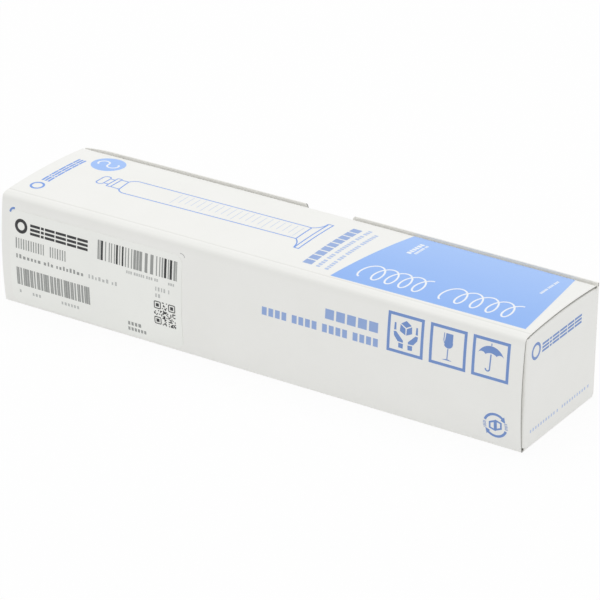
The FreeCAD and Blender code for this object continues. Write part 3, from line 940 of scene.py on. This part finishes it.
captions = bmesh.new()
add_words(captions, 14.1, -15.9, 31.5, 3.4, 21, turned=True, widths=(0.8, 0.86), word=(9, 9))
lay_film("lid_caption", captions, lid_top, words_ink)
small_captions = bmesh.new()
add_words(small_captions, 19.2, -16.1, 32.4, 1.4, 22, turned=True, gap=0.3)
add_words(small_captions, 22.6, -16.4, 30.9, 1.4, 23, turned=True, gap=0.3)
lay_film("lid_small_captions", small_captions, lid_top, pale_ink)

end_mark = bmesh.new()
add_ring(end_mark, -92.6, -13.5, 2.2, 0.8)
add_striped_row(end_mark, -90.9, -9.3, 21.4, 3.2, turned=True)
lay_film("lid_end_mark", end_mark, lid_top, line_ink)

# %% [markdown]
# ## The print on the front and the end
#
# The front carries a caption, three handling marks in frames, a ring of two arrows, and corner
# guides for placing the label. The marks are drawn as what they mean: a packed cube between two
# hands, a stemmed glass and an umbrella.

# %% Front caption and guides
front_words = bmesh.new()
add_words(front_words, 28.3, 27.7, 20.6, 3.4, 31, word=(9, 9), widths=(0.94, 0.98), gap=0.24)
add_words(front_words, 4.6, 22.9, 43.9, 2.8, 32, word=(4, 4), widths=(0.63, 0.65), gap=0.25)
lay_film("front_caption", front_words, front_panel, words_ink)

guides = bmesh.new()
add_stroke(guides, arc_through((-96.1, 33.7), (-95.6, 34.8), (-94.2, 35.3), 6), 0.75)
lay_film("label_guide_left", guides, front_panel, blue_ink)
grey_guide = bmesh.new()
add_stroke(grey_guide, arc_through((-27.6, 35.7), (-26.3, 35.5), (-25.7, 34.6), 6), 0.3)
lay_film("label_guide_right", grey_guide, front_panel, guide_grey)

# %% Handling marks
marks = bmesh.new()
for left in (51.7, 67.0, 82.2):
    add_stroke(marks, [(left, 23.5), (left + 12.1, 23.5), (left + 12.1, 35.9), (left, 35.9)],
               1.0, closed=True)

# the cube, seen on its corner: three faces with white joints between them
CUBE = Vector((57.9, 31.9))
for turn in (90, 210, 330):
    corners = ((0.25, turn), (2.3, turn - 56), (2.55, turn), (2.3, turn + 56))
    add_face(marks, [CUBE + heading(way) * reach for reach, way in corners])
# the hands: fingers, palm and cuff, one mirrored from the other
HAND = (
    ((3.5, 30.7), (4.3, 30.6), (4.2, 33.1), (3.6, 33.1)),
    ((4.4, 30.1), (4.2, 28.7), (2.8, 27.0), (0.9, 26.9), (0.9, 27.6), (3.5, 30.2)),
    ((0.8, 26.5), (2.5, 26.6), (2.5, 25.0), (0.9, 24.9)),
)
for hand in (1, -1):
    for outline in HAND:
        add_face(marks, [(CUBE.x + hand * x, z) for x, z in outline])

# the glass: bowl, stem and foot
bowl = arc_through((71.5, 31.6), (73.1, 29.3), (74.7, 31.6), 12)
add_face(marks, [(72.2, 34.2), *bowl[3:], (74.7, 34.2)])
add_stroke(marks, [(71.6, 34.2), (71.45, 31.8), (71.75, 30.8)], 0.3)
add_stroke(marks, [(73.1, 29.2), (72.95, 25.65)], 0.36)
add_face(marks, [(71.0, 25.2), (74.7, 25.2), (73.4, 25.6), (72.6, 25.6)])

# the umbrella: a dome with three scallops, a tip, a shaft and its hook
dome = arc_through((92.8, 31.0), (88.25, 34.0), (83.7, 31.0), 14)
scallops = []
for left, right in ((83.7, 86.25), (86.25, 90.25), (90.25, 92.8)):
    scallops += arc_through((left, 31.0), ((left + right) / 2, 31.7), (right, 31.0), 6)[:-1]
add_face(marks, dome + scallops[1:])
add_stroke(marks, [(88.25, 34.1), (88.25, 34.9)], 0.35)
hook = arc_through((88.05, 26.5), (87.35, 25.6), (86.55, 26.4), 8)
add_stroke(marks, [(88.25, 31.3)] + hook, 0.45)
lay_film("handling_marks", marks, front_panel, blue_ink)

# %% Ring of two arrows
arrows = bmesh.new()
RING = Vector((90.6, 7.55))
RING_RADIUS = 3.9
HEAD = 1.0
for hand, first in ((1, 162), (-1, 342)):
    line = [RING + heading(turn) * RING_RADIUS for turn in spread(first, first - 118, 12)]
    add_stroke(arrows, line, 0.85)
    # the head's base lies over the end of the line
    base, tip = heading(first - 112), heading(first - 138)
    add_face(arrows, [
        RING + base * (RING_RADIUS + HEAD),
        RING + base * (RING_RADIUS - HEAD),
        RING + tip * RING_RADIUS,
    ])
    # a sheet folded once, half of it on each side
    sheet = ((0.25, 1.7), (0.25, -1.5), (2.0, -0.7), (2.0, 1.2))
    corners = [(RING.x + hand * x, RING.y + hand * z) for x, z in sheet]
    add_stroke(arrows, corners, 0.6, closed=True)
    # five fine dashes lead up to each arrow's tail
    for turn in spread(first + 10, first + 38, 4):
        add_stroke(arrows, [RING + heading(turn) * 3.35, RING + heading(turn) * 4.4], 0.22)
lay_film("two_arrow_ring", arrows, front_panel, blue_ink)

# %% Right end
end_print = bmesh.new()
add_ring(end_print, -17.2, 32.8, 2.4, 0.95)
add_striped_row(end_print, -13.3, 30.8, 25.3, 3.1)
lay_film("end_mark", end_print, right_end, blue_ink)
end_small = bmesh.new()
add_words(end_small, -19.0, 5.2, 18.4, 1.0, 43, gap=0.9, word=(10, 10), widths=(0.7, 0.8))
add_words(end_small, 1.4, 5.3, 18.2, 1.0, 42, gap=0.9, word=(10, 10), widths=(0.7, 0.8))
lay_film("end_small_print", end_small, right_end, pale_ink)

# %% [markdown]
# ## The print on the label
#
# The label comes from a thermal printer: bars, a square code and lines of small print, black where
# the head was hot and grey where the paper was marked less. The bars stand in plain groups and the
# square code's cells come from a seeded series, so they look like codes and say nothing.

# %% Bar codes
def on_label(x, z, lift):
    return front_panel(x, z, LABEL_TOP + lift)


def print_on_label(name, flat, ink):
    lay_film(name, flat, on_label, ink, spacing=LABEL_SPACING)


# the long code's bars are so fine that they run together in eleven grey groups
long_code = bmesh.new()
for number in range(11):
    left = -93.65 + number * 2.79
    second_end = 1.5 if number % 3 == 1 else 1.2
    third_end = 2.4 if number % 2 else 2.2
    for start, end in ((0, 0.5), (0.6, second_end), (1.62, third_end)):
        add_bar(long_code, left + start, 8.05, left + end, 14.55)
print_on_label("label_long_bar_code", long_code, thermal_grey)

# in the short one five bars are full black and the rest are grey
SHORT_LOW, SHORT_HIGH = 25.85, 32.65
BLACK_BARS = ((-58.7, -57.85), (-52.6, -51.85), (-50.25, -49.6), (-33.4, -32.5), (-31.2, -30.3))
GREY_BARS = ((-60.0, -59.4), (-59.2, -58.9), (-45.6, -44.6), (-44.4, -43.5), (-43.3, -42.2),
             (-41.1, -40.0), (-38.9, -37.7), (-34.4, -33.8), (-29.7, -28.9), (-28.75, -28.35))
THIN_BARS = (-57.0, -55.5, -54.6, -53.4, -51.3, -48.95, -47.8, -46.55, -36.6, -35.35, -31.95)
THIN = 0.42
black_bars = bmesh.new()
for left, right in BLACK_BARS:
    add_bar(black_bars, left, SHORT_LOW, right, SHORT_HIGH)
print_on_label("label_black_bars", black_bars, thermal_black)
grey_bars = bmesh.new()
for left, right in (*GREY_BARS, *((left, left + THIN) for left in THIN_BARS)):
    add_bar(grey_bars, left, SHORT_LOW, right, SHORT_HIGH)
print_on_label("label_grey_bars", grey_bars, thermal_grey)

# %% Square code
CELL = 0.405
COUNT = 21
CODE_LEFT, CODE_LOW = -37.5, 8.4
# three of its corners hold an eye, seven cells wide
EYE = 7
EYES = [(0, 0), (0, COUNT - EYE), (COUNT - EYE, COUNT - EYE)]
# the share of cells that stay empty, the chance that a dark run goes on, and the cells' height
EMPTY = 0.55
GO_ON = 0.4
CELL_HEIGHT = 0.97


def near_eye(column, row):
    """Whether a cell lies in an eye or in the clear row round it."""
    return any(x - 1 <= column <= x + EYE and y - 1 <= row <= y + EYE for x, y in EYES)


cells = bmesh.new()
chance = random.Random(53)
for row in range(COUNT):
    column = 0
    while column < COUNT:
        if near_eye(column, row) or chance.random() < EMPTY:
            column += 1
            continue
        run = column + 1
        while run < COUNT and chance.random() < GO_ON and not near_eye(run, row):
            run += 1
        add_bar(cells, CODE_LEFT + column * CELL, CODE_LOW + row * CELL,
                CODE_LEFT + run * CELL, CODE_LOW + (row + CELL_HEIGHT) * CELL)
        column = run + 1
for column, row in EYES:
    x, z = CODE_LEFT + (column + EYE / 2) * CELL, CODE_LOW + (row + EYE / 2) * CELL
    add_bar(cells, x - 1.5 * CELL, z - 1.5 * CELL, x + 1.5 * CELL, z + 1.5 * CELL)
    frame_line = rounded(x - 3 * CELL, z - 3 * CELL, x + 3 * CELL, z + 3 * CELL, 0.3, 2)
    add_stroke(cells, frame_line, 0.8 * CELL, closed=True)
print_on_label("label_square_code", cells, thermal_black)

# %% Mark and small print
label_mark = bmesh.new()
add_ring(label_mark, -91.35, 29.7, 2.0, 1.15)
add_striped_row(label_mark, -87.6, 27.5, 23.6, 3.8)
print_on_label("label_mark", label_mark, thermal_black)
label_print = bmesh.new()
add_words(label_print, -93.5, 18.0, 29.6, 1.5, 56, gap=0.45, widths=(0.4, 0.7), low=0.7)
add_words(label_print, -48.4, 4.9, 6.0, 1.3, 60, gap=0.4)
add_words(label_print, -48.5, 2.9, 7.6, 1.2, 63, gap=0.4)
print_on_label("label_small_print", label_print, thermal_grey)
number_line = bmesh.new()
add_words(number_line, -93.6, 21.5, 20.6, 3.8, 55, word=(12, 12), widths=(0.1, 0.14), gap=0.15)
print_on_label("label_number_line", number_line, thermal_grey)
faint = bmesh.new()
add_words(faint, -63.7, 18.0, 12.2, 1.4, 64, gap=0.5, widths=(0.4, 0.7), low=0.7)
add_words(faint, -48.4, 23.75, 12.6, 1.0, 57, gap=0.3, widths=(0.5, 0.7))
add_words(faint, -31.7, 23.7, 3.1, 0.9, 58, gap=0.3)
add_words(faint, -36.8, 20.5, 6.0, 1.4, 59, gap=0.4, widths=(0.3, 0.5))
add_words(faint, -36.8, 18.2, 1.9, 1.3, 62, gap=0.4, widths=(0.4, 0.6))
for left, length in ((-93.0, 0.9), (-87.6, 3.4), (-75.6, 7.8)):
    add_words(faint, left, 5.0, length, 1.1, 61, gap=0.5)
print_on_label("label_faint_print", faint, thermal_pale)

# %% [markdown]
# ## Camera, light and floor
#
# The picture is taken from above the right-hand end with a long lens, so the carton's edges stay
# nearly parallel. The room is a large soft white tent: the world gives most of the light, one
# broad lamp above gives the top a little more than the sides.

# %% Camera
right_way = Vector((0.84092, 0.54109, 0.00883))
up_way = Vector((-0.23805, 0.35521, 0.90397))
forward_way = Vector((-0.48599, 0.76226, -0.42751))
camera_data = bpy.data.cameras.new("camera")
camera_data.lens = 197.4
camera_data.sensor_width = 36.0
camera = add_object("camera", camera_data)
turned = Matrix((right_way, up_way, -forward_way)).transposed().to_4x4()
camera.matrix_world = Matrix.Translation((0.52418, -0.81711, 0.47608)) @ turned
bpy.context.scene.camera = camera

# %% World and lamp
world = bpy.data.worlds.new("white tent")
world.use_nodes = True
bpy.context.scene.world = world
tree = world.node_tree
tree.nodes.clear()
TENT_LIGHT = 0.74


def seen_directly(tree):
    """1 for rays that show the background to the eye, straight or in a reflection."""
    path = add_node(tree, "ShaderNodeLightPath")
    seen = path.outputs["Is Camera Ray"]
    for ray in ("Is Glossy Ray", "Is Transmission Ray"):
        either = add_node(
            tree, "ShaderNodeMath", {0: seen, 1: path.outputs[ray]}, operation="MAXIMUM")
        seen = either.outputs[0]
    return seen


tent = add_node(tree, "ShaderNodeBackground", {"Color": (1, 1, 1, 1), "Strength": TENT_LIGHT})
backdrop = add_node(tree, "ShaderNodeBackground", {"Color": (1, 1, 1, 1), "Strength": 1.0})
chosen = add_node(
    tree, "ShaderNodeMixShader",
    {0: seen_directly(tree), 1: tent.outputs[0], 2: backdrop.outputs[0]})
add_node(tree, "ShaderNodeOutputWorld", {"Surface": chosen.outputs[0]})

lamp_data = bpy.data.lights.new("broad lamp", "AREA")
lamp_data.shape = "DISK"
lamp_data.size = 1.4
lamp_data.energy = 6.0
lamp = add_object("broad lamp", lamp_data)
lamp.location = (-0.15, 0.1, 1.4)
lamp.rotation_euler = (-lamp.location).to_track_quat("-Z", "Y").to_euler()

# %% Floor
# Matt white card. The eye sees it nearly as white as the backdrop, and still with the soft
# shadow under the carton: it glows by the first share there, and by the second for other rays.
SEEN_GLOW = 0.9
LEAST_GLOW = 0.3
floor_card = bpy.data.materials.new("matt_white_card")
floor_card.use_nodes = True
tree = floor_card.node_tree
tree.nodes.clear()
card = add_node(tree, "ShaderNodeBsdfDiffuse", {"Color": colour("#FAFAFA")})
glow = add_node(tree, "ShaderNodeEmission", {"Color": (1, 1, 1, 1), "Strength": 1.0})
seen_glow = add_node(
    tree, "ShaderNodeMath", {0: seen_directly(tree), 1: SEEN_GLOW}, operation="MULTIPLY")
share = add_node(
    tree, "ShaderNodeMath", {0: seen_glow.outputs[0], 1: LEAST_GLOW}, operation="MAXIMUM")
mixed = add_node(
    tree, "ShaderNodeMixShader",
    {0: share.outputs[0], 1: card.outputs[0], 2: glow.outputs[0]})
add_node(tree, "ShaderNodeOutputMaterial", {"Surface": mixed.outputs[0]})
floor_mesh = bmesh.new()
bmesh.ops.create_grid(floor_mesh, x_segments=1, y_segments=1, size=6.0)
mesh = bpy.data.meshes.new("floor")
floor_mesh.to_mesh(mesh)
floor_mesh.free()
mesh.materials.append(floor_card)
floor = add_object("floor", mesh)

bpy.context.scene.view_settings.view_transform = "Standard"
